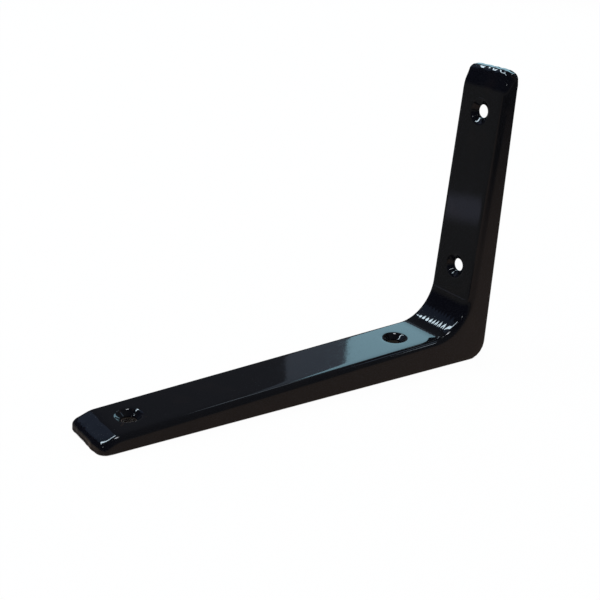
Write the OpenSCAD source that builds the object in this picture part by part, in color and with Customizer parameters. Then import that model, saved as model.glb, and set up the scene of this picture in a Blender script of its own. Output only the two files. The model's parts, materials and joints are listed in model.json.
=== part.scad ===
// Angle bracket for a shelf, pressed from one sheet of steel: two arms of open channel that deepen
// towards the corner, each closed at its tip by a sloped end and a short lip, with four dished screw holes.
// X runs out along the long arm, Z up the short arm and Y across both.
// The shelf lies in the plane Z = 0, the wall in the plane X = 0, and the origin is where they meet.

/* [Arms] */
// Length of the long arm, from the wall plane to its tip
long_arm = 150; // [120:1:220]
// Height of the short arm, from the shelf plane to its tip
short_arm = 102; // [85:1:160]
// Width across both arms
arm_w = 21; // [17:0.5:30]

/* [Sheet] */
// Thickness of the pressed sheet
sheet = 1.5; // [1:0.1:1.8]
// Inside radius of the pressed edges between web and flanges
press_r = 0.4; // [0.2:0.1:0.6]

/* [Channel] */
// Depth of the long arm's channel at the fold near its tip
long_tip_depth = 5.1; // [4.6:0.1:7]
// Depth of the short arm's channel at the fold near its tip
short_tip_depth = 5.3; // [4.6:0.1:7]
// Depth that the long arm's channel would reach at the wall plane
long_heel_depth = 11.6; // [9:0.1:14]
// Depth that the short arm's channel would reach at the shelf plane
short_heel_depth = 10.8; // [9:0.1:14]
// Radius of the web's bend, where the arms meet
bend_r = 14.9; // [10:0.1:18]
// Radius of the side flanges' outer corner
heel_r = 6; // [3:0.5:8]

/* [Tips] */
// Length of each sloped end, from its fold to the tip
slope_run = 5.6; // [4.5:0.1:7]
// Height of the short lip under each sloped end
lip_h = 2.8; // [2.4:0.1:3.4]
// Outside radius of the soft fold between web and slope
fold_r = 6; // [4:0.5:8]
// Outside radius of the bend between slope and lip
lip_bend_r = 2.6; // [2.5:0.1:3]

/* [Screw holes] */
// Diameter of the holes
hole_d = 4.5; // [4:0.1:6]
// Diameter of the dishes' mouths
mouth_d = 8.6; // [8:0.1:11]
// Depth of the conical dishes, below the web's face
dish_depth = 1.6; // [1.4:0.1:2]
// Length of the straight bore below each dish
bore_l = 0.7; // [0.5:0.1:1]
// Thickness of metal round each bore
bore_wall = 1.3; // [1:0.1:1.6]
// Distance of the long arm's inner hole from the wall plane
long_heel_hole_at = 34; // [31:0.5:40]
// Distance of the short arm's inner hole from the shelf plane
short_heel_hole_at = 33; // [31:0.5:40]
// Distance of the long arm's outer hole from that arm's tip
long_tip_hole_in = 14; // [12:0.2:18]
// Distance of the short arm's outer hole from that arm's tip
short_tip_hole_in = 14.4; // [12:0.2:18]

/* [Hidden] */
$fn = 96;
paint = [0.06, 0.065, 0.08];

// Outside radius of the pressed edges, which is also how far back from the face the side flanges begin
edge_r = sheet + press_r;

// How fast each channel deepens towards the corner
long_rise = (long_heel_depth - long_tip_depth) / (long_arm - slope_run);
short_rise = (short_heel_depth - short_tip_depth) / (short_arm - slope_run);

// Height of the long arm's face above the shelf plane, and how far the short arm's stands off the wall
function long_face(x) = long_heel_depth - long_rise * x;
function short_face(z) = short_heel_depth - short_rise * z;

// Where the two faces would meet without their bend
meet_x = (short_heel_depth - short_rise * long_heel_depth) / (1 - long_rise * short_rise);

// The web's face in the X-Z plane, from the end of the short arm's lip to the end of the long arm's,
// as a line with corners. The face looks to the left of the way, and the metal lies to its right
face_line = [
    [0, short_arm],
    [lip_h, short_arm],
    [short_tip_depth, short_arm - slope_run],
    [meet_x, long_face(meet_x)],
    [long_arm - slope_run, long_tip_depth],
    [long_arm, lip_h],
    [long_arm, 0],
];
// The radius of each corner of that line, and the number of steps in its curve
corner_r = [0, lip_bend_r, fold_r, bend_r, fold_r, lip_bend_r, 0];
corner_steps = [0, 4, 3, 14, 3, 4, 0];
// The number of steps in a pressed edge's rounding
edge_steps = 5;
// How far the side flanges reach past their pressed edges, at the very end of each lip
lip_leg = 0.5;

function heading(i) = atan2(face_line[i + 1].y - face_line[i].y, face_line[i + 1].x - face_line[i].x);
function turn(i) = heading(i) - heading(i - 1);
function leftward(angle) = [-sin(angle), cos(angle)];

// A station is a point of the face and the way's heading there. These are the ones round one corner
function curve(i) =
    let (
        side = sign(turn(i)),
        taken = corner_r[i] * tan(abs(turn(i)) / 2),
        ahead = [cos(heading(i)), sin(heading(i))],
        centre = face_line[i] + taken * ahead + side * corner_r[i] * leftward(heading(i))
    )
    [
        for (k = [0:corner_steps[i]])
            let (angle = heading(i - 1) + turn(i) * k / corner_steps[i])
            [centre - side * corner_r[i] * leftward(angle), angle],
    ];

short_tip = [[face_line[0], heading(0)], each curve(1), each curve(2)];
bend = curve(3);
long_tip = [each curve(4), each curve(5), [face_line[6], heading(5)]];
stations = concat(short_tip, bend, long_tip);

// Points shared out evenly between two places
function spread(from, to, count) = [for (k = [0:count - 1]) from + (to - from) * k / (count - 1)];

// Where the side flanges end below each station: on the wall plane, round the heel and on the shelf plane
tip_set_back = edge_r + lip_leg;
heel = [
    for (angle = spread(180, 270, len(bend) - 2))
        [heel_r, heel_r] + heel_r * [cos(angle), sin(angle)],
];
bend_foot = bend[len(bend) - 1][0].x;
flange_line = [
    each spread([0, short_arm - tip_set_back], [0, short_tip[len(short_tip) - 1][0].y], len(short_tip)),
    [0, bend[0][0].y],
    each heel,
    [bend_foot, 0],
    each spread([long_tip[0][0].x, 0], [long_arm - tip_set_back, 0], len(long_tip)),
];

// A point some way behind the face at a station, and a point on the flanges' edge below it
function behind(k, depth, y) =
    let (p = stations[k][0] - depth * leftward(stations[k][1]))
    [p.x, y, p.y];
function below(k, y) = [flange_line[k].x, y, flange_line[k].y];

// One skin of the channel at a station, over the pressed edges from the near flange to the far one
function skin(k, radius) =
    let (flat_half = arm_w / 2 - edge_r)
    [
        below(k, flat_half + radius),
        for (side = [1, -1], step = [0:edge_steps])
            let (angle = 90 * (side > 0 ? step : edge_steps - step) / edge_steps)
            behind(k, edge_r - radius * sin(angle), side * (flat_half + radius * cos(angle))),
        below(k, -flat_half - radius),
    ];

function backwards(list) = [for (i = [len(list) - 1:-1:0]) list[i]];
function ring(k) = concat(skin(k, edge_r), backwards(skin(k, press_r)));

// The pressed sheet: its outer skin, its inner skin and its cut edges, ring after ring along both arms.
// Each face between two rings starts at the corner that lets it split the same way on both flanges, and away
// from the tips, where three of its corners can lie in line on a base plane.
// Each end is a strip of faces between the skins
module pressed_channel() {
    around = len(ring(0));
    last = len(stations) - 1;
    sides = [
        for (k = [0:last - 1], j = [0:around - 1])
            let (
                next = (j + 1) % around,
                here = k * around,
                there = here + around,
                face = [here + j, there + j, there + next, here + next],
                towards_flange = floor(j / (around / 4)) % 2 == 1,
                on_long_arm = k > last / 2
            )
            towards_flange == on_long_arm ? face : [face[1], face[2], face[3], face[0]],
    ];
    end_strip = [for (j = [0:around / 2 - 2]) [j, j + 1, around - 2 - j, around - 1 - j]];
    far_strip = [for (face = end_strip) [for (j = backwards(face)) last * around + j]];
    polyhedron(points = [for (k = [0:last]) each ring(k)], faces = concat(end_strip, sides, far_strip));
}

// A screw hole's place, with the hole's axis up its own Z and the web's face at its origin
module at_holes() {
    for (x = [long_heel_hole_at, long_arm - long_tip_hole_in])
        translate([x, 0, long_face(x)])
            children();
    for (z = [short_heel_hole_at, short_arm - short_tip_hole_in])
        translate([short_face(z), 0, z])
            rotate([0, 90, 0])
                children();
}

// The metal that a dish pushes out behind the web
module dish_back() {
    reach = dish_depth + bore_l - sheet / 2;
    foot_r = hole_d / 2 + bore_wall;
    translate([0, 0, -reach - sheet / 2])
        cylinder(h = reach, r1 = foot_r, r2 = foot_r + reach / 2);
}

// The dish itself, a cone that runs on a little above the face, and the bore below it
module dish_cut() {
    flare = (mouth_d - hole_d) / 2 / dish_depth;
    above = 0.5;
    translate([0, 0, -dish_depth])
        cylinder(h = dish_depth + above, r1 = hole_d / 2, r2 = mouth_d / 2 + above * flare);
    translate([0, 0, -dish_depth - bore_l - above])
        cylinder(h = bore_l + 2 * above, r = hole_d / 2);
}

module bracket() {
    color(paint)
        difference() {
            union() {
                pressed_channel();
                at_holes() dish_back();
            }
            at_holes() dish_cut();
        }
}

bracket();
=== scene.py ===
"""Dresses the angle bracket: the pressed sheet with its folds and dished holes, its paint, and a studio."""
import json
import math

import bpy
from bpy.props import FloatProperty, FloatVectorProperty, PointerProperty
from mathutils import Euler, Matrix, Quaternion, Vector, noise


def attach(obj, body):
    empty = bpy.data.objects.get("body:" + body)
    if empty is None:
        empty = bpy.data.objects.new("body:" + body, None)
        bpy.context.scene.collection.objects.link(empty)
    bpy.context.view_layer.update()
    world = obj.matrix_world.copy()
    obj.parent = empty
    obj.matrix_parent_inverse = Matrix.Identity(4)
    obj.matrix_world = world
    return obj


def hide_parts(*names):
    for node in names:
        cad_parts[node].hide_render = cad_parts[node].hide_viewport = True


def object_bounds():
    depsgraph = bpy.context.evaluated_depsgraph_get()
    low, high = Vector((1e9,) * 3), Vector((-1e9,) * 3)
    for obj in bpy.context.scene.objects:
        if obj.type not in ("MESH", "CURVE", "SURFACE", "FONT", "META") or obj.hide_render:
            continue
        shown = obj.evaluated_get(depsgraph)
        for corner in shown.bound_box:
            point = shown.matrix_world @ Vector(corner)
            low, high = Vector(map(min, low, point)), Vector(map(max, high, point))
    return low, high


bl_info = {
    "name": "Pressed Angle Bracket",
    "version": (1, 0, 0),
    "blender": (4, 5, 0),
    "location": "View3D > Sidebar > Bracket",
    "description": "Builds a pressed, painted angle bracket with dished screw holes and its studio",
    "category": "Add Mesh",
}

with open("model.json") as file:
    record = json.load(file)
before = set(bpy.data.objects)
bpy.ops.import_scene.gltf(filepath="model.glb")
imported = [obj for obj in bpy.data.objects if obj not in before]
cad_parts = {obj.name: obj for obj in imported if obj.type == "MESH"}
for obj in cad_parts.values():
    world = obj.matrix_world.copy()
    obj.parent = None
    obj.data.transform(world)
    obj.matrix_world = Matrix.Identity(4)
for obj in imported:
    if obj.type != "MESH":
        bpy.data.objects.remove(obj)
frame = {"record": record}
CAD_LOW, CAD_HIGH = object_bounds()
BORES = [mount for mount in frame["record"]["mounts"] if mount["kind"] == "bore"]
MM = 0.001


def length(name, words, default, low=0.0, high=1.0):
    """A size in metres, shown as a distance."""
    return FloatProperty(name=name, description=words, default=default, min=low, max=high,
                         unit="LENGTH", precision=5)


def amount(name, words, default, low=0.0, high=1.0):
    """A plain number."""
    return FloatProperty(name=name, description=words, default=default, min=low, max=high)


def position(name, words, default):
    """A place in the frame's own space, shown as a position."""
    return FloatVectorProperty(name=name, description=words, default=default, size=3, subtype="TRANSLATION")


def colour(name, words, default):
    """A colour in linear light."""
    return FloatVectorProperty(name=name, description=words, default=default, size=3,
                               subtype="COLOR", min=0, max=1)


class BracketSizes(bpy.types.PropertyGroup):
    """The pressed sheet's sizes. The overall sizes and the holes' places come from the frame."""

    sheet: length("Sheet", "Thickness of the sheet", 1.5 * MM)
    press_r: length("Press radius", "Inside radius of the pressed edges", 0.4 * MM)
    long_tip_depth: length("Long tip depth", "Depth of the long arm at the fold near its tip", 5.1 * MM)
    short_tip_depth: length("Short tip depth", "Depth of the short arm at the fold near its tip", 5.3 * MM)
    long_heel_depth: length("Long heel depth", "Depth the long arm would reach at the wall", 11.6 * MM)
    short_heel_depth: length("Short heel depth", "Depth the short arm would reach at the shelf", 10.8 * MM)
    bend_r: length("Bend radius", "Radius of the web's bend", 14.9 * MM)
    heel_r: length("Heel radius", "Radius of the flanges' outer corner", 6 * MM)
    slope_run: length("Slope", "Length of each sloped end", 5.6 * MM)
    lip_h: length("Lip", "Height of the short lip under each sloped end", 2.8 * MM)
    fold_r: length("Fold radius", "Outside radius of the soft fold between web and slope", 11 * MM)
    lip_bend_r: length("Lip bend radius", "Outside radius of the bend between slope and lip", 2.6 * MM)
    lip_leg: length("Lip leg", "Reach of the flanges past their pressed edges at the end of a lip", 0.5 * MM)
    mouth_r: length("Mouth radius", "Radius of the dishes' mouths", 4.3 * MM)
    dish_depth: length("Dish depth", "Depth of the conical dishes", 1.6 * MM)
    bore_l: length("Bore", "Length of the straight bore below each dish", 0.7 * MM)
    bore_wall: length("Bore wall", "Thickness of metal round each bore", 1.3 * MM)


class BracketPress(bpy.types.PropertyGroup):
    """What pressing, shearing and painting leave on the sheet."""

    cut_r: length("Cut edge radius", "How round the paint makes the sheared edges", 0.35 * MM)
    mouth_round: length("Mouth rounding", "How soft the dishes' mouths are", 0.2 * MM)
    shoulder: length("Shoulder", "Width of the soft roll-off beside each pressed edge", 1.4 * MM)
    shoulder_drop: length("Shoulder drop", "How far the face drops before its pressed edge begins", 0.07 * MM)
    far_shoulder: amount("Far shoulder", "Share of that drop along the edge at -Y", 0.1)
    waviness: length("Waviness", "How far the sheet's faces wander from flat", 0.006 * MM)
    wave_size: length("Wave size", "How long those waves are", 16 * MM)
    rib_height: length("Rib height", "Height of the press's faint ribs round the bend", 0.045 * MM)
    rib_pitch: length("Rib pitch", "Distance between those ribs", 1.65 * MM)
    tip_dent: length("Tip dent", "Depth of the press's shallow dents near the tips", 0.05 * MM)
    lip_wander: length("Lip wander", "How uneven the lips' sheared edges are", 0.35 * MM)
    lip_lump: length("Lip lump", "Height of the lumps of paint round the lips' bends", 0.16 * MM)
    lip_crown: length("Lip crown", "How far a lip's crown stands proud", 0.4 * MM)
    crown_middle: length("Crown middle", "Where that crown's middle lies across the width", -1.5 * MM,
                         low=-10 * MM, high=10 * MM)
    crown_half: length("Crown half", "Half the width of that crown", 8 * MM)
    corner_drop: length("Corner drop", "How far a lip's corner at +Y falls away", 0.65 * MM)
    lip_bead: length("Lip bead", "Height of the paint's bead along the lips' edges", 0.1 * MM)
    bead_width: length("Bead width", "Width of that bead and of the groove beside it", 2.2 * MM)


class BracketPaint(bpy.types.PropertyGroup):
    """The gloss paint."""

    black: colour("Black", "Colour of the paint", (0.0035, 0.0036, 0.0045))
    thin: colour("Thin", "Colour of the paint where it is thin, at edges", (0.012, 0.008, 0.007))
    roughness: amount("Roughness", "Roughness of clean paint", 0.045)
    smear: amount("Smear", "How much rougher the paint is where it was handled", 0.03)
    speck: amount("Speck", "How much rougher the paint is at specks of dust", 0.2)
    peel_size: length("Peel size", "Size of the orange-peel cells", 1.5 * MM)
    peel_height: length("Peel height", "Height of the orange peel", 0.003 * MM)


class BracketStudio(bpy.types.PropertyGroup):
    """The floor, the room that the paint mirrors, and the camera. The lamps are listed further down."""

    focal_length: amount("Focal length", "Camera's focal length on a 36 mm wide frame, in mm", 62.99, 10, 300)
    camera_place: position("Camera place", "Where the camera stands", (0.2595, 0.2531, 0.1546))
    camera_turn: FloatVectorProperty(name="Camera turn", description="The camera's rotation about X, Y and Z",
                                     default=(1.19560, -0.05679, 2.53577), size=3, subtype="EULER")
    background: colour("Background", "Colour of the floor and the air as the camera sees them", (1, 1, 1))
    air: colour("Air", "Soft light from all round", (0.55, 0.55, 0.55))
    room_at_wall: colour("Room at wall", "Mirrored colour of the room towards -X", (0.066, 0.07, 0.085))
    room_at_tip: colour("Room at tip", "Mirrored colour of the room towards +X", (0.008, 0.01, 0.035))
    table_far: colour("Table far", "Mirrored colour of the floor beyond the bracket", (0.118, 0.118, 0.118))
    table_near: colour("Table near", "Mirrored colour of the floor before the bracket", (0.25, 0.19, 0.16))
    table_front: colour("Table front", "Mirrored colour of the floor further out at +Y", (0.03, 0.03, 0.035))
    floor_glow: amount("Floor glow", "Share of the background's colour in the floor as it is seen", 0.97)
    floor_reach: length("Floor reach", "How far the floor goes from the corner", 3.0, 0.5, 20)
    pool_place: position("Pool place", "Where a mirrored pool of light lies on the floor", (0.21, -0.19, 0))
    pool_reach: length("Pool reach", "Radius of that pool of light", 0.06)
    pool_in_gloss: colour("Pool in gloss", "Mirrored colour of that pool of light", (0.32, 0.335, 0.44))


def settings(group):
    """One of the property groups on the scene."""
    return getattr(bpy.context.scene, group)


class PressLine:
    """The web's face in the X-Z plane, from the end of the short arm's lip to the end of the long arm's.

    The face looks to the left of the way, and the metal lies to its right.
    """

    SHORT_TIP = ("short_lip", "short_lip_bend", "short_slope", "short_fold")
    LONG_TIP = ("long_fold", "long_slope", "long_lip_bend", "long_lip")
    NAMES = (*SHORT_TIP, "short_arm", "bend", "long_arm", *LONG_TIP)

    def __init__(self, sizes):
        self.sizes = sizes
        self.long_arm = CAD_HIGH.x
        self.short_arm = CAD_HIGH.z
        s = sizes
        self.long_rise = (s.long_heel_depth - s.long_tip_depth) / (self.long_arm - s.slope_run)
        self.short_rise = (s.short_heel_depth - s.short_tip_depth) / (self.short_arm - s.slope_run)
        both_rise = self.long_rise * self.short_rise
        meet = (s.short_heel_depth - self.short_rise * s.long_heel_depth) / (1 - both_rise)
        self.corners = [
            Vector((0, self.short_arm)),
            Vector((s.lip_h, self.short_arm)),
            Vector((s.short_tip_depth, self.short_arm - s.slope_run)),
            Vector((meet, self.long_face(meet))),
            Vector((self.long_arm - s.slope_run, s.long_tip_depth)),
            Vector((self.long_arm, s.lip_h)),
            Vector((self.long_arm, 0)),
        ]
        self.radii = [0, s.lip_bend_r, s.fold_r, s.bend_r, s.fold_r, s.lip_bend_r, 0]
        self.pieces = self.make_pieces()

    def long_face(self, x):
        """Height of the long arm's face above the shelf plane."""
        return self.sizes.long_heel_depth - self.long_rise * x

    def short_face(self, z):
        """How far the short arm's face stands off the wall plane."""
        return self.sizes.short_heel_depth - self.short_rise * z

    def heading(self, i):
        """The way's direction after a corner, as an angle from +X towards +Z."""
        way = self.corners[i + 1] - self.corners[i]
        return math.atan2(way.y, way.x)

    def taken(self, i):
        """How much of each run a corner's curve takes up."""
        if not 0 < i < len(self.corners) - 1:
            return 0
        return self.radii[i] * math.tan(abs(self.heading(i) - self.heading(i - 1)) / 2)

    def make_pieces(self):
        """Runs and curves in turn by their names, each with its length, start, heading and turn."""
        pieces = []
        for i in range(len(self.corners) - 1):
            ahead = Vector((math.cos(self.heading(i)), math.sin(self.heading(i))))
            start = self.corners[i] + ahead * self.taken(i)
            reach = (self.corners[i + 1] - self.corners[i]).length - self.taken(i) - self.taken(i + 1)
            pieces.append((reach, start, self.heading(i), 0.0))
            if i < len(self.corners) - 2:
                turn = self.heading(i + 1) - self.heading(i)
                pieces.append((abs(turn) * self.radii[i + 1], start + ahead * reach, self.heading(i), turn))
        return dict(zip(self.NAMES, pieces))

    def at(self, name, share):
        """The point and heading some share of the way along a piece."""
        reach, start, heading, turn = self.pieces[name]
        if not turn:
            return start + Vector((math.cos(heading), math.sin(heading))) * reach * share, heading
        radius = reach / turn
        centre = start + Vector((-math.sin(heading), math.cos(heading))) * radius
        here = heading + turn * share
        return centre - Vector((-math.sin(here), math.cos(here))) * radius, here


def spaced(low, high, step):
    """Places from low to high, evenly spaced at no more than a step."""
    slack = 1e-6
    count = max(1, math.ceil((high - low) / step - slack))
    return [low + (high - low) * k / count for k in range(count + 1)]


def smooth(low, high, x):
    """Turns smoothly from 0 at low to 1 at high. Low may be the larger of the two."""
    t = min(1.0, max(0.0, (x - low) / (high - low)))
    return t * t * (3 - 2 * t)


def uneven(across, along, third=0.0):
    """Smooth noise between about -1 and 1, at a place that is given in lumps of it."""
    return noise.noise(Vector((across, along, third)))


def cut_inset(distance, radius):
    """How far a sheared edge's rounding draws a skin in, some way from that edge."""
    if distance >= radius:
        return 0.0
    return radius - math.sqrt(radius**2 - (radius - distance) ** 2)


class Station:
    """One ring of the sheet: its place on the press line, and the flanges' foot below it.

    It has its piece's name and its share of the way along it, the distance from the nearer cut end, the
    directions along the way and down into the metal, and the one out along its base plane to the arm's tip.
    """

    def __init__(self, name, share, point, heading, from_end, foot):
        self.name = name
        self.share = share
        self.point = point
        self.along = Vector((math.cos(heading), 0, math.sin(heading)))
        self.down = Vector((math.sin(heading), 0, -math.cos(heading)))
        self.from_end = from_end
        self.foot = foot
        self.is_short = name.startswith("short")
        self.at_tip = name in PressLine.SHORT_TIP + PressLine.LONG_TIP
        self.out = Vector((0, 0, 1)) if self.is_short else Vector((1, 0, 0))

    def behind(self, depth, y):
        """A point some way behind the face."""
        return Vector((self.point.x, y, self.point.y)) + self.down * depth


class Hole:
    """One dished screw hole: its arm, its place along that arm's run, and its own directions."""

    def __init__(self, mount, line):
        x, _, z = mount["pos_m"]
        on_long_arm = abs(mount["axis"][2]) > 0.5
        self.bore_r = mount["dims"]["r_mm"] * MM
        if on_long_arm:
            self.arm, self.slant = "long_arm", -line.long_rise
            self.axis, self.side = Vector((0, 0, 1)), Vector((1, 0, 0))
            self.centre = Vector((x, 0, line.long_face(x)))
        else:
            self.arm, self.slant = "short_arm", -line.short_rise
            self.axis, self.side = Vector((1, 0, 0)), Vector((0, 0, 1))
            self.centre = Vector((line.short_face(z), 0, z))
        _, start, heading, _ = line.pieces[self.arm]
        way = Vector((math.cos(heading), math.sin(heading)))
        self.place = (Vector((self.centre.x, self.centre.z)) - start).dot(way)

    def angle(self, point):
        """The direction of a point round the hole."""
        away = point - self.centre
        return math.atan2(away.y, away.dot(self.side))

    def at(self, angle, r, depth, slanted):
        """A point some radius and depth from the hole's mouth, some share of it on the web's own slant."""
        out = r * math.cos(angle)
        rise = self.slant * out * slanted - depth
        return self.centre + self.side * out + Vector((0, r * math.sin(angle), 0)) + self.axis * rise


class PressMarks:
    """What pressing, shearing and painting do to the face: how far they move each place of it."""

    # Distances from a cut end at which a mark is nothing, and at which it is whole
    SHOULDER_FADE = (0, 6 * MM)
    CROWN_FADE = (6.5 * MM, 2.5 * MM)
    LUMP_FADE = (5 * MM, 3.5 * MM)
    DENT_FADE = (15 * MM, 10 * MM)
    SLIDE_FADE = (2.2 * MM, 0.0)
    # The same for the bead, in widths of it
    BEAD_FADE = (1.5, 1.0)
    # Shares of the way round the bend at which its ribs are nothing and whole, at its top and at its foot
    RIB_TOP = (0, 0.3)
    RIB_FOOT = (1, 0.7)
    # Share of the ribs' height that is left along the edge at -Y
    RIB_FAR_SHARE = 0.4
    # Mean and spread of the ribs' height, and how many radians of their wave they wander by
    RIB_MEAN = 0.8
    RIB_SPREAD = 0.5
    RIB_SHIFT = 2.5
    # How far in from the web's and the sheet's sides the ribs and the bead are whole
    RIB_MARGIN = 1.5 * MM
    BEAD_MARGIN = 3 * MM
    # Width of a lip's fallen corner, and the softness of a crown's sides as a share of its half width
    CORNER_WIDTH = 3.8 * MM
    CROWN_SOFTNESS = 0.4
    # How far a lip's edge draws back on the whole, as a share of its wander
    SLIDE_MEAN = 0.5
    # Sizes of the noise's lumps in each mark
    WANDER_SIZE = 6 * MM
    SWELL_SIZE = 3 * MM
    SLIDE_SIZE = 3.4 * MM
    LUMP_WIDTH = 1.9 * MM
    LUMP_LENGTH = 2.6 * MM
    DENT_SIZE = 4 * MM
    # Rows of the noise for the ribs' wander and swell and for the lips' slide, and the dents' layer of it
    WANDER_ROW = 0.7
    SWELL_ROW = 2.7
    SLIDE_ROW = 5.0
    DENT_LAYER = 3
    # How fast the noise's third place grows with X, so that the two tips differ
    TIPS_APART = 40
    SLIDES_APART = 50

    def __init__(self, press, half, flat_half):
        self.press = press
        self.half = half
        self.flat_half = flat_half

    def drop(self, station, y):
        """How far the face lies behind its press line, with its shoulders, ribs and uneven lips."""
        return self.roll_off(station, y) - self.rib_lift(station, y) - self.lip_lift(station, y)

    def roll_off(self, station, y):
        """How far the face drops towards its pressed edges, at a place across the sheet."""
        width = self.press.shoulder
        drop = self.press.shoulder_drop * smooth(*self.SHOULDER_FADE, station.from_end)
        if y < 0:
            drop *= self.press.far_shoulder
        past = max(0.0, abs(y) - self.flat_half + width) / width
        return drop * past**2 if past < 1 else drop * (2 * past - 1)

    def rib_lift(self, station, y):
        """Faint ribs that run round the bend, side by side across the web.

        A second, lower wave sharpens their crests.
        """
        if station.name != "bend":
            return 0.0
        fade = smooth(*self.RIB_TOP, station.share) * smooth(*self.RIB_FOOT, station.share)
        fade *= smooth(self.flat_half, self.flat_half - self.RIB_MARGIN, abs(y))
        fade *= self.RIB_FAR_SHARE + (1 - self.RIB_FAR_SHARE) * smooth(-self.half, self.half, y)
        wander = uneven(y / self.WANDER_SIZE, self.WANDER_ROW)
        swell = self.RIB_MEAN + self.RIB_SPREAD * uneven(y / self.SWELL_SIZE, self.SWELL_ROW)
        turned = 2 * math.pi * y / self.press.rib_pitch + self.RIB_SHIFT * wander
        return self.press.rib_height * fade * swell * (math.cos(turned) + math.cos(2 * turned) / 6)

    def lip_lift(self, station, y):
        """The dents near a tip, its lip's crown and fallen corner at +Y, and the paint's lumps and bead."""
        p = self.press
        from_end = station.from_end
        layer = station.point.x * self.TIPS_APART
        low, high = p.crown_half * (1 + self.CROWN_SOFTNESS), p.crown_half * (1 - self.CROWN_SOFTNESS)
        crown = p.lip_crown * smooth(low, high, abs(y - p.crown_middle))
        corner = p.corner_drop * smooth(self.half - self.CORNER_WIDTH, self.half, y)
        lump = uneven(y / self.LUMP_WIDTH, from_end / self.LUMP_LENGTH, layer)
        lump *= p.lip_lump * smooth(*self.LUMP_FADE, from_end)
        dent = uneven(y / self.DENT_SIZE, from_end / self.DENT_SIZE, self.DENT_LAYER + layer)
        dent *= p.tip_dent * smooth(*self.DENT_FADE, from_end)
        bead = p.lip_bead * math.cos(2 * math.pi * from_end / p.bead_width)
        bead *= smooth(*(share * p.bead_width for share in self.BEAD_FADE), from_end)
        bead *= smooth(self.half, self.half - self.BEAD_MARGIN, abs(y))
        return (crown - corner) * smooth(*self.CROWN_FADE, from_end) + lump + dent + bead

    def lip_slide(self, station, y):
        """How far a lip's sheared edge draws back from the base plane, which wanders along it."""
        near = smooth(*self.SLIDE_FADE, station.from_end)
        layer = station.point.x * self.SLIDES_APART
        wander = self.SLIDE_MEAN + uneven(y / self.SLIDE_SIZE, self.SLIDE_ROW, layer)
        back = 1 if station.is_short else -1
        return back * self.press.lip_wander * near * max(0.0, wander)


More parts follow.
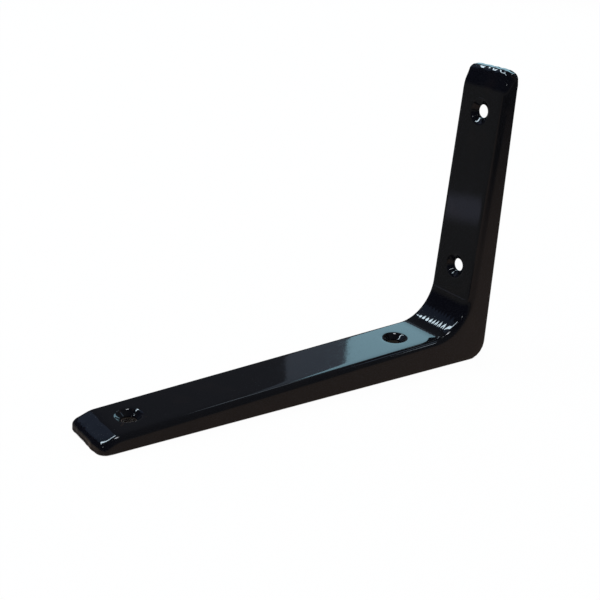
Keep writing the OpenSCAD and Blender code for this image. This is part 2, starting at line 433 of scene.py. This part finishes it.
class PressedSheet:
    """The sheet as a mesh: an outer and an inner skin over one grid, joined at cut edges and holes."""

    # Half the width of the square window in the grid that a hole's rings fill, and its margin round them
    WINDOW = 6.5 * MM
    WINDOW_MARGIN = 0.3 * MM
    # Longest steps of the grid: at holes and lips, on plain runs, beside the windows, and in curves
    FINE = 0.5 * MM
    COARSE = 1.2 * MM
    BESIDE = 0.6 * MM
    CURVE_STEP = math.radians(4)
    # Gap between the web's last column and its pressed edge
    EDGE_GAP = 0.3 * MM
    # Rows in a cut edge's rounding, as shares of its radius, and the most of a flange that it may take up
    CUT_ROWS = (0.0, 0.1, 0.25, 0.55, 1.0)
    CUT_SHARE = 0.45
    FLANGE_ROWS = 8
    EDGE_STEPS = 9
    # Longest step between a dish's rings, and how far outside its mouth the mouth's rounding is still whole
    RING_STEP = 0.22 * MM
    MOUTH_FADE = 0.5 * MM
    # Size of the small bevels at the corners of a bore and of a dish's back
    NICK = 0.12 * MM
    # Shares of the way from a window's sides to the circle nearest them
    BETWEEN = (0.25, 0.5, 0.75)
    # Heights above the shelf plane between which the sheet's waviness grows
    WAVE_FADE = (0, 3 * MM)
    # Seed of the waviness, whose place in the noise Blender would otherwise draw from the clock
    WAVE_SEED = 1
    # Distances that differ by less are the same
    SAME = 1e-7

    def __init__(self, sizes, press):
        self.sizes = sizes
        self.press = press
        self.line = PressLine(sizes)
        self.half = CAD_HIGH.y
        self.edge_r = sizes.sheet + sizes.press_r
        self.flat_half = self.half - self.edge_r
        self.marks = PressMarks(press, self.half, self.flat_half)
        self.holes = [Hole(mount, self.line) for mount in BORES]
        self.stations = self.make_stations()
        self.columns = self.make_columns()
        self.points = []
        self.faces = []
        self.make_skins()
        self.make_rims()
        for hole in self.holes:
            self.make_dish(hole)
        noise.seed_set(self.WAVE_SEED)
        self.points = [self.warped(point) for point in self.points]

    def run_places(self, name, reach, turn):
        """Where the rings stand along one piece: closer in curves, at the holes and at the cut ends."""
        if turn:
            return spaced(0, reach, reach * self.CURVE_STEP / abs(turn))
        rounding = [row * self.press.cut_r for row in self.CUT_ROWS]
        if name == "short_lip":
            return rounding + spaced(rounding[-1], reach, self.FINE)[1:]
        if name == "long_lip":
            before = spaced(0, reach - rounding[-1], self.FINE)[:-1]
            return before + [reach - row for row in reversed(rounding)]
        middles = [hole.place for hole in self.holes if hole.arm == name]
        stops = sorted({0.0, reach} | {m + side * self.WINDOW for m in middles for side in (-1, 1)})
        places = [0.0]
        for low, high in zip(stops, stops[1:]):
            at_hole = any(low < middle < high for middle in middles)
            places += spaced(low, high, self.FINE if at_hole else self.COARSE)[1:]
        return places

    def foot_at(self, name, share, past):
        """Where the flanges end below a place: on the wall plane, round the heel or on the shelf plane."""
        line, s = self.line, self.sizes
        set_back = self.edge_r + s.lip_leg
        short_end = line.pieces["short_arm"][1].y
        bend_top = line.pieces["bend"][1].y
        bend_foot = line.at("bend", 1)[0].x
        long_end = line.at("long_arm", 1)[0].x
        if name == "short_arm":
            return Vector((0, 0, short_end + (bend_top - short_end) * share))
        if name == "long_arm":
            return Vector((bend_foot + (long_end - bend_foot) * share, 0, 0))
        if name == "bend":
            return self.heel_foot(share, bend_top, bend_foot)
        if name.startswith("short"):
            end = line.short_arm - set_back
            return Vector((0, 0, end + (short_end - end) * past))
        end = line.long_arm - set_back
        return Vector((end + (long_end - end) * past, 0, 0))

    def heel_foot(self, share, top, foot):
        """The flanges' rounded outer corner."""
        r = self.sizes.heel_r
        gone = share * (top - r + r * math.pi / 2 + foot - r)
        if gone < top - r:
            return Vector((0, 0, top - gone))
        angle = (gone - (top - r)) / r
        if angle > math.pi / 2:
            return Vector((gone - (top - r) - r * math.pi / 2 + r, 0, 0))
        return Vector((r * (1 - math.cos(angle)), 0, r * (1 - math.sin(angle))))

    def make_stations(self):
        """The sheet's rings in turn, from the short arm's cut end to the long arm's."""
        pieces = self.line.pieces
        total = sum(piece[0] for piece in pieces.values())
        tip_names = {"short": PressLine.SHORT_TIP, "long": PressLine.LONG_TIP}
        tip_length = {side: sum(pieces[name][0] for name in names) for side, names in tip_names.items()}
        stations = []
        gone = 0.0
        for name, (reach, _, _, turn) in pieces.items():
            side = "short" if name.startswith("short") else "long"
            for place in self.run_places(name, reach, turn)[1 if stations else 0:]:
                share = place / reach
                point, heading = self.line.at(name, share)
                from_end = max(0.0, min(gone + place, total - gone - place))
                foot = self.foot_at(name, share, from_end / tip_length[side])
                stations.append(Station(name, share, point, heading, from_end, foot))
            gone += reach
        return stations

    def make_columns(self):
        """Places across the sheet, from one flange's foot over the web to the other's.

        Each has a kind, a value and a side. The value is a share of the flange's height or of its cut edge's
        rounding, an angle round the pressed edge, or a place across the web.
        """
        flange = [("cut", row) for row in self.CUT_ROWS]
        flange += [("flange", row) for row in spaced(0, 1, 1 / self.FLANGE_ROWS)[1:-1]]
        edge = [("edge", angle) for angle in spaced(0, math.pi / 2, math.pi / 2 / self.EDGE_STEPS)]
        beside = spaced(self.WINDOW, self.flat_half - self.EDGE_GAP, self.BESIDE)
        window = spaced(-self.WINDOW, self.WINDOW, self.FINE)[1:-1]
        across = [*beside[::-1], *window[::-1], *(-y for y in beside)]
        near = [(kind, value, 1) for kind, value in flange + edge]
        far = [(kind, value, -1) for kind, value in reversed(flange + edge)]
        return near + [("web", y, 0) for y in across] + far

    def skin_pair(self, station, kind, value, side):
        """The outer and inner point at a place of the grid, and the distance from the flange's cut edge.

        At a tip the flange's foot moves along its base plane as far as the face above it has moved that way.
        """
        s = self.sizes
        if kind == "web":
            drop = self.marks.drop(station, value)
            return station.behind(drop, value), station.behind(s.sheet + drop, value), math.inf
        if kind == "edge":
            pair = []
            for radius in (self.edge_r, s.press_r):
                y = side * (self.flat_half + radius * math.cos(value))
                depth = self.edge_r - radius * math.sin(value) + self.marks.drop(station, y)
                pair.append(station.behind(depth, y))
            return *pair, math.inf
        drop = self.marks.drop(station, side * self.half)
        foot = station.foot.copy()
        if station.at_tip:
            foot += station.out * (station.down.dot(station.out) * drop)
        climb = station.behind(self.edge_r + drop, 0) - foot
        rounding = min(self.press.cut_r, self.CUT_SHARE * climb.length)
        up = value * rounding if kind == "cut" else rounding + value * (climb.length - rounding)
        place = foot + climb * (up / climb.length)
        outer = place + Vector((0, side * self.half, 0))
        inner = place + Vector((0, side * (self.half - s.sheet), 0))
        return outer, inner, up * self.press.cut_r / rounding

    def make_skins(self):
        """Both skins' points, with rounded cut edges and the wandering ends of the lips."""
        for station in self.stations:
            for column in self.columns:
                outer, inner, from_foot = self.skin_pair(station, *column)
                through = (inner - outer).normalized()
                inset = cut_inset(min(from_foot, station.from_end), self.press.cut_r)
                slide = station.along * self.marks.lip_slide(station, outer.y)
                self.points.append(outer + through * inset + slide)
                self.points.append(inner - through * inset + slide)

    def warped(self, point):
        """A point moved a little, as pressed sheet wanders from its drawing. The shelf plane stays flat."""
        reach = self.press.waviness * smooth(*self.WAVE_FADE, point.z)
        return point + noise.noise_vector(point / self.press.wave_size) * reach

    def at(self, k, j):
        """The number of the outer point at a station and a column. The inner point's is one more."""
        return 2 * (k * len(self.columns) + j)

    def window(self, hole):
        """The first and last station and column of the window in the grid that a hole's rings fill."""
        reach = self.line.pieces[hole.arm][0]
        near = [k for k, station in enumerate(self.stations) if station.name == hole.arm
                and abs(station.share * reach - hole.place) < self.WINDOW + self.SAME]
        inside = [j for j, (kind, value, _) in enumerate(self.columns)
                  if kind == "web" and abs(value) < self.WINDOW + self.SAME]
        return near[0], near[-1], inside[0], inside[-1]

    def make_rims(self):
        """The faces of both skins, apart from the windows, and those of the cut edges between them."""
        windows = [self.window(hole) for hole in self.holes]
        last_k, last_j = len(self.stations) - 1, len(self.columns) - 1
        for k in range(last_k):
            for j in range(last_j):
                if any(k0 <= k < k1 and j0 <= j < j1 for k0, k1, j0, j1 in windows):
                    continue
                a, b, c, d = self.at(k, j), self.at(k + 1, j), self.at(k + 1, j + 1), self.at(k, j + 1)
                self.faces += [(a, d, c, b), (a + 1, b + 1, c + 1, d + 1)]
            a, b = self.at(k, 0), self.at(k + 1, 0)
            c, d = self.at(k, last_j), self.at(k + 1, last_j)
            self.faces += [(a, b, b + 1, a + 1), (c, c + 1, d + 1, d)]
        for j in range(last_j):
            a, b = self.at(0, j), self.at(0, j + 1)
            c, d = self.at(last_k, j), self.at(last_k, j + 1)
            self.faces += [(a, a + 1, b + 1, b), (c, d, d + 1, c + 1)]

    def dish_profile(self, bore_r):
        """Radius and depth of the rings from the dish's mouth through the bore to the back of the web."""
        s, nick = self.sizes, self.NICK
        steep = s.dish_depth / (s.mouth_r - bore_r)
        outside = self.WINDOW - self.WINDOW_MARGIN
        profile = []
        for r in reversed(spaced(bore_r + nick, outside, self.RING_STEP)):
            fall = (s.mouth_r - r) * steep
            depth = (fall + math.hypot(fall, self.press.mouth_round)) / 2
            profile.append((r, depth * smooth(outside, s.mouth_r + self.MOUTH_FADE, r)))
        floor = s.dish_depth + s.bore_l
        foot_r = bore_r + s.bore_wall
        back_r = foot_r + (floor - s.sheet) / 2
        return profile + [
            (bore_r, s.dish_depth + nick), (bore_r, floor - 2 * nick), (bore_r, floor - nick),
            (bore_r + nick, floor), (bore_r + 2 * nick, floor),
            (foot_r - 2 * nick, floor), (foot_r - nick, floor),
            (foot_r, floor - nick), (foot_r + nick, floor - 3 * nick),
            (back_r - nick, s.sheet + 3 * nick), (back_r, s.sheet + nick),
            (back_r + nick, s.sheet + nick / 2), (back_r + 3 * nick, s.sheet), (outside, s.sheet),
        ]

    def make_dish(self, hole):
        """Fills a window with the rings of a dished hole, from the outer skin through to the inner one."""
        k0, k1, j0, j1 = self.window(hole)
        border = [(k0, j) for j in range(j0, j1)] + [(k, j1) for k in range(k0, k1)]
        border += [(k1, j) for j in range(j1, j0, -1)] + [(k, j0) for k in range(k1, k0, -1)]
        outer = [self.at(k, j) for k, j in border]
        inner = [number + 1 for number in outer]
        angles = [hole.angle(self.points[number]) for number in outer]
        profile = self.dish_profile(hole.bore_r)
        slanted = [smooth(hole.bore_r, self.sizes.mouth_r, r) for r, _ in profile]
        circles = [[hole.at(angle, r, depth, share) for angle in angles]
                   for (r, depth), share in zip(profile, slanted)]
        before = [self.between(outer, circles[0], share) for share in self.BETWEEN]
        after = [self.between(inner, circles[-1], share) for share in reversed(self.BETWEEN)]
        rings = [outer]
        for ring in before + circles + after:
            rings.append(list(range(len(self.points), len(self.points) + len(ring))))
            self.points += ring
        rings.append(inner)
        count = len(border)
        for here, there in zip(rings, rings[1:]):
            for i in range(count):
                n = (i + 1) % count
                self.faces.append((here[i], here[n], there[n], there[i]))

    def between(self, numbers, circle, share):
        """A ring some share of the way from the grid's own points to a circle."""
        return [self.points[number].lerp(point, share) for number, point in zip(numbers, circle)]


class Wire:
    """A number that varies over a surface. Arithmetic on it adds the Math nodes."""

    def __init__(self, shader, socket):
        self.shader = shader
        self.socket = socket

    def maths(self, operation, *values):
        """A Math node's result, as another wire."""
        node =self.shader.add("Math", {"operation": operation}, dict(enumerate(values)))
        return Wire(self.shader, node.outputs[0])

    def __add__(self, other):
        return self.maths("ADD", self, other)

    def __sub__(self, other):
        return self.maths("SUBTRACT", self, other)

    def __rsub__(self, other):
        return self.maths("SUBTRACT", other, self)

    def __mul__(self, other):
        return self.maths("MULTIPLY", self, other)

    __radd__ = __add__
    __rmul__ = __mul__

    def ramp(self, low, high):
        """Rises smoothly from 0 at low to 1 at high."""
        settings = {"interpolation_type": "SMOOTHSTEP"}
        sockets = {"Value": self, "From Min": low, "From Max": high}
        return Wire(self.shader, self.shader.add("MapRange", settings, sockets).outputs[0])


class Shader:
    """A node tree, filled node by node."""

    def __init__(self, tree):
        self.tree = tree
        tree.nodes.clear()

    def add(self, kind, settings=None, sockets=None):
        """A node of some type: its settings first, then the values or links of its sockets."""
        node = self.tree.nodes.new("ShaderNode" + kind)
        for name, value in (settings or {}).items():
            setattr(node, name, value)
        for key, value in (sockets or {}).items():
            if isinstance(value, Wire):
                value = value.socket
            if isinstance(value, bpy.types.NodeSocket):
                self.tree.links.new(value, node.inputs[key])
            else:
                node.inputs[key].default_value = value
        return node

    def noise(self, size, detail=2.0):
        """Noise in the object's own space, with lumps of some size."""
        spot = self.add("TexCoord").outputs["Object"]
        scale = (1 / size, 1 / size, 1 / size)
        scaled = self.add("VectorMath", {"operation": "MULTIPLY"}, {0: spot, 1: scale}).outputs[0]
        texture = self.add("TexNoise", None, {"Vector": scaled, "Scale": 1.0, "Detail": detail})
        return Wire(self, texture.outputs["Fac"])

    def patches(self, size, low, high, detail=2.0):
        """Soft patches of some size: 0 where the noise is under low, and 1 where it is over high."""
        return self.noise(size, detail).ramp(low, high)

    def mix(self, share, low, high):
        """One colour where the share is 0, turning into another where it is 1."""
        values = [value if isinstance(value, bpy.types.NodeSocket) else (*value, 1) for value in (low, high)]
        node = self.add("Mix", {"data_type": "RGBA"}, {0: share, 6: values[0], 7: values[1]})
        return node.outputs[2]


def gloss_paint(paint):
    """Black gloss paint: orange peel, smears and specks, and a warmer, thinner film on its sharp edges."""
    at_edges, in_patches = 0.8, 0.2
    fine_size, fine_height = 0.3, 0.2
    material = bpy.data.materials.new("black_gloss_paint")
    material.use_nodes = True
    shader = Shader(material.node_tree)
    edge = Wire(shader, shader.add("NewGeometry").outputs["Pointiness"]).ramp(low=0.52, high=0.6)
    film = shader.patches(size=9 * MM, low=0.5, high=0.75)
    tint = shader.mix(edge * at_edges + film * in_patches, paint.black, paint.thin)
    smear = shader.patches(size=5 * MM, low=0.45, high=0.75, detail=3.0)
    speck = shader.patches(size=0.4 * MM, low=0.62, high=0.74)
    rough = paint.roughness + smear * paint.smear + speck * paint.speck
    fine = shader.noise(paint.peel_size * fine_size, detail=1.0)
    peel = shader.noise(paint.peel_size, detail=1.0) + fine * fine_height
    bump = shader.add("Bump", None, {"Strength": 1.0, "Distance": paint.peel_height, "Height": peel})
    surface = shader.add("BsdfPrincipled", None, {
        "Base Color": tint,
        "Roughness": rough,
        "IOR": 1.5,
        "Normal": bump.outputs[0],
    })
    shader.add("OutputMaterial", None, {"Surface": surface.outputs[0]})
    return material


def build_object(name, points, faces, material):
    """A smooth-shaded mesh object in the scene."""
    mesh = bpy.data.meshes.new(name)
    mesh.from_pydata(points, [], faces)
    mesh.validate()
    mesh.materials.append(material)
    mesh.shade_smooth()
    piece = bpy.data.objects.new(name, mesh)
    bpy.context.collection.objects.link(piece)
    return piece


class BRACKET_OT_sheet(bpy.types.Operator):
    """Builds the pressed sheet with its holes and paints it"""

    bl_idname = "bracket.sheet"
    bl_label = "Pressed Sheet"

    def execute(self, context):
        sheet = PressedSheet(settings("bracket_sizes"), settings("bracket_press"))
        paint = gloss_paint(settings("bracket_paint"))
        piece = build_object("pressed_sheet", sheet.points, sheet.faces, paint)
        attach(piece, "root")
        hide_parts("bracket")
        return {"FINISHED"}


def direction(azimuth, elevation):
    """A unit vector. Azimuth 0 is -Y, and it grows towards -X; both are in degrees."""
    a, e = math.radians(azimuth), math.radians(elevation)
    return Vector((-math.sin(a) * math.cos(e), -math.cos(a) * math.cos(e), math.sin(e)))


def light_path(shader):
    """Whether a ray goes to the camera or through glass, and whether it comes off a gloss."""
    outputs = shader.add("LightPath").outputs
    seen = Wire(shader, outputs["Is Camera Ray"]) + Wire(shader, outputs["Is Transmission Ray"])
    return seen, Wire(shader, outputs["Is Glossy Ray"])


def light_world(studio):
    """Even light from all round, seen as the plain background, and mirrored as a dim room.

    The room's colour turns from the wall's side to the tip's, and into the floor's near the horizon.
    """
    world = bpy.data.worlds.new("studio_air")
    bpy.context.scene.world = world
    world.use_nodes = True
    shader = Shader(world.node_tree)
    seen, mirrored = light_path(shader)
    way = shader.add("SeparateXYZ", None, {0: shader.add("TexCoord").outputs["Generated"]})
    tipward = Wire(shader, way.outputs["X"]).ramp(low=-0.5, high=0.6)
    upward = Wire(shader, way.outputs["Z"]).ramp(low=0.0, high=0.2)
    walls = shader.mix(tipward, studio.room_at_wall, studio.room_at_tip)
    room = shader.mix(upward, studio.table_far, walls)
    tint = shader.mix(seen, shader.mix(mirrored, studio.air, room), studio.background)
    shade = shader.add("Background", None, {"Color": tint, "Strength": 1.0})
    shader.add("OutputWorld", None, {"Surface": shade.outputs[0]})


def make_floor(studio):
    """A white floor that keeps the object's shadow, also under it, where ambient occlusion takes its glow
    away as painted shade, and is mirrored as a dim table.
    """
    pool_core = 0.3
    material = bpy.data.materials.new("pale_floor")
    material.use_nodes = True
    shader = Shader(material.node_tree)
    seen, mirrored = light_path(shader)
    spot = shader.add("NewGeometry").outputs["Position"]
    away = shader.add("VectorMath", {"operation": "DISTANCE"}, {0: spot, 1: tuple(studio.pool_place)})
    pool = 1 - Wire(shader, away.outputs["Value"]).ramp(studio.pool_reach * pool_core, studio.pool_reach)
    forward = Wire(shader, shader.add("SeparateXYZ", None, {0: spot}).outputs["Y"])
    table = shader.mix(forward.ramp(low=-0.02, high=0.01), studio.table_far, studio.table_near)
    table = shader.mix(forward.ramp(low=0.0, high=0.42), table, studio.table_front)
    table = shader.mix(pool, table, studio.pool_in_gloss)
    # Painted shade: ambient occlusion takes the floor's glow away under the bracket, so the floor's own lit
    # diffuse shows there instead
    openness = shader.add("AmbientOcclusion", {"samples": 8}, {"Distance": 0.03}).outputs["AO"]
    ao_unshaded = Wire(shader, openness).ramp(low=0.12, high=0.4)
    tint = shader.mix(mirrored, studio.background, table)
    glow = shader.add("Emission", None, {"Color": tint, "Strength": 1.0})
    paint = shader.add("BsdfDiffuse", None, {"Color": (*studio.background, 1)})
    share = seen * ao_unshaded * studio.floor_glow + mirrored
    blend = shader.add("MixShader", None, {0: share, 1: paint.outputs[0], 2: glow.outputs[0]})
    shader.add("OutputMaterial", None, {"Surface": blend.outputs[0]})
    reach = studio.floor_reach
    corners = [(-reach, -reach, 0), (reach, -reach, 0), (reach, reach, 0), (-reach, reach, 0)]
    build_object("floor", corners, [(0, 1, 2, 3)], material)


# The place in the bracket's angle that the lamps face, and how far from it they hang
LAMP_AIM = Vector((0.05, 0, 0.03))
LAMP_AWAY = 1.5

# Each lamp's name, its azimuth, elevation, roll, width and height in degrees, and its radiance
LAMPS = (
    ("window", 47.74, 26.5, 0, 19.45, 23, (1.08, 1.9, 2.28)),
    ("window_wall", 34.5, 26.5, 0, 4.1, 23, (0.17, 0.215, 0.28)),
    ("high_window", 38, 47, 0, 8, 6, (1.0, 1.2, 1.4)),
    ("ceiling_strip", -29.8, 54, 3.6, 44, 4.5, (11, 13.5, 15)),
    ("ceiling_glow", -14, 45, 0, 30, 34, (0.08, 0.12, 0.2)),
    ("overhead_lamp", -136, 87, 0, 11, 11, (12, 12.6, 13.5)),
    ("side_lamp", -105, 36, 0, 5, 4, (8, 8.5, 9)),
    ("side_window", 103.5, 52.7, 0, 8, 9, (0.5, 0.7, 0.95)),
    ("near_wall_lamp", 130, 37, 0, 3.9, 6, (3, 3.6, 4.2)),
)


def hang_lamp(name, azimuth, elevation, roll, wide, high, radiance):
    """A rectangular lamp with the same radiance all over. Its width and height are the angles it takes up."""
    data = bpy.data.lights.new(name, "AREA")
    data.shape = "RECTANGLE"
    data.size = 2 * LAMP_AWAY * math.tan(math.radians(wide / 2))
    data.size_y = 2 * LAMP_AWAY * math.tan(math.radians(high / 2))
    strength = max(radiance)
    data.energy = strength * math.pi * data.size * data.size_y
    data.color = [part / strength for part in radiance]
    lamp = bpy.data.objects.new(name, data)
    way = direction(azimuth, elevation)
    lamp.location = LAMP_AIM + way * LAMP_AWAY
    facing = (-way).to_track_quat("-Z", "Y") @ Quaternion((0, 0, 1), math.radians(roll))
    lamp.rotation_euler = facing.to_euler()
    lamp.visible_camera = False
    bpy.context.collection.objects.link(lamp)


def make_camera(studio):
    """The camera, where the photo's camera stood."""
    data = bpy.data.cameras.new("camera")
    data.lens = studio.focal_length
    data.clip_start = 0.01
    camera = bpy.data.objects.new("camera", data)
    camera.location = studio.camera_place
    camera.rotation_euler = Euler(studio.camera_turn, "XYZ")
    bpy.context.collection.objects.link(camera)
    bpy.context.scene.camera = camera


class BRACKET_OT_studio(bpy.types.Operator):
    """Makes the floor, the background, the lamps and the camera"""

    bl_idname = "bracket.studio"
    bl_label = "Studio"

    def execute(self, context):
        studio = settings("bracket_studio")
        context.scene.view_settings.view_transform = "Standard"
        light_world(studio)
        make_floor(studio)
        for lamp in LAMPS:
            hang_lamp(*lamp)
        make_camera(studio)
        return {"FINISHED"}


class BRACKET_PT_panel(bpy.types.Panel):
    """Lists the bracket's pieces and its studio"""

    bl_label = "Angle Bracket"
    bl_space_type = "VIEW_3D"
    bl_region_type = "UI"
    bl_category = "Bracket"

    def draw(self, context):
        for operator in OPERATORS:
            self.layout.operator(operator.bl_idname)


GROUPS = {
    "bracket_sizes": BracketSizes,
    "bracket_press": BracketPress,
    "bracket_paint": BracketPaint,
    "bracket_studio": BracketStudio,
}
OPERATORS = (BRACKET_OT_sheet, BRACKET_OT_studio)


def register():
    for kind in (*GROUPS.values(), *OPERATORS, BRACKET_PT_panel):
        bpy.utils.register_class(kind)
    for name, kind in GROUPS.items():
        setattr(bpy.types.Scene, name, PointerProperty(type=kind))


def unregister():
    for name in GROUPS:
        delattr(bpy.types.Scene, name)
    for kind in (BRACKET_PT_panel, *OPERATORS, *GROUPS.values()):
        bpy.utils.unregister_class(kind)


def main():
    register()
    bpy.ops.bracket.sheet()
    bpy.ops.bracket.studio()


if __name__ == "__main__":
    main()
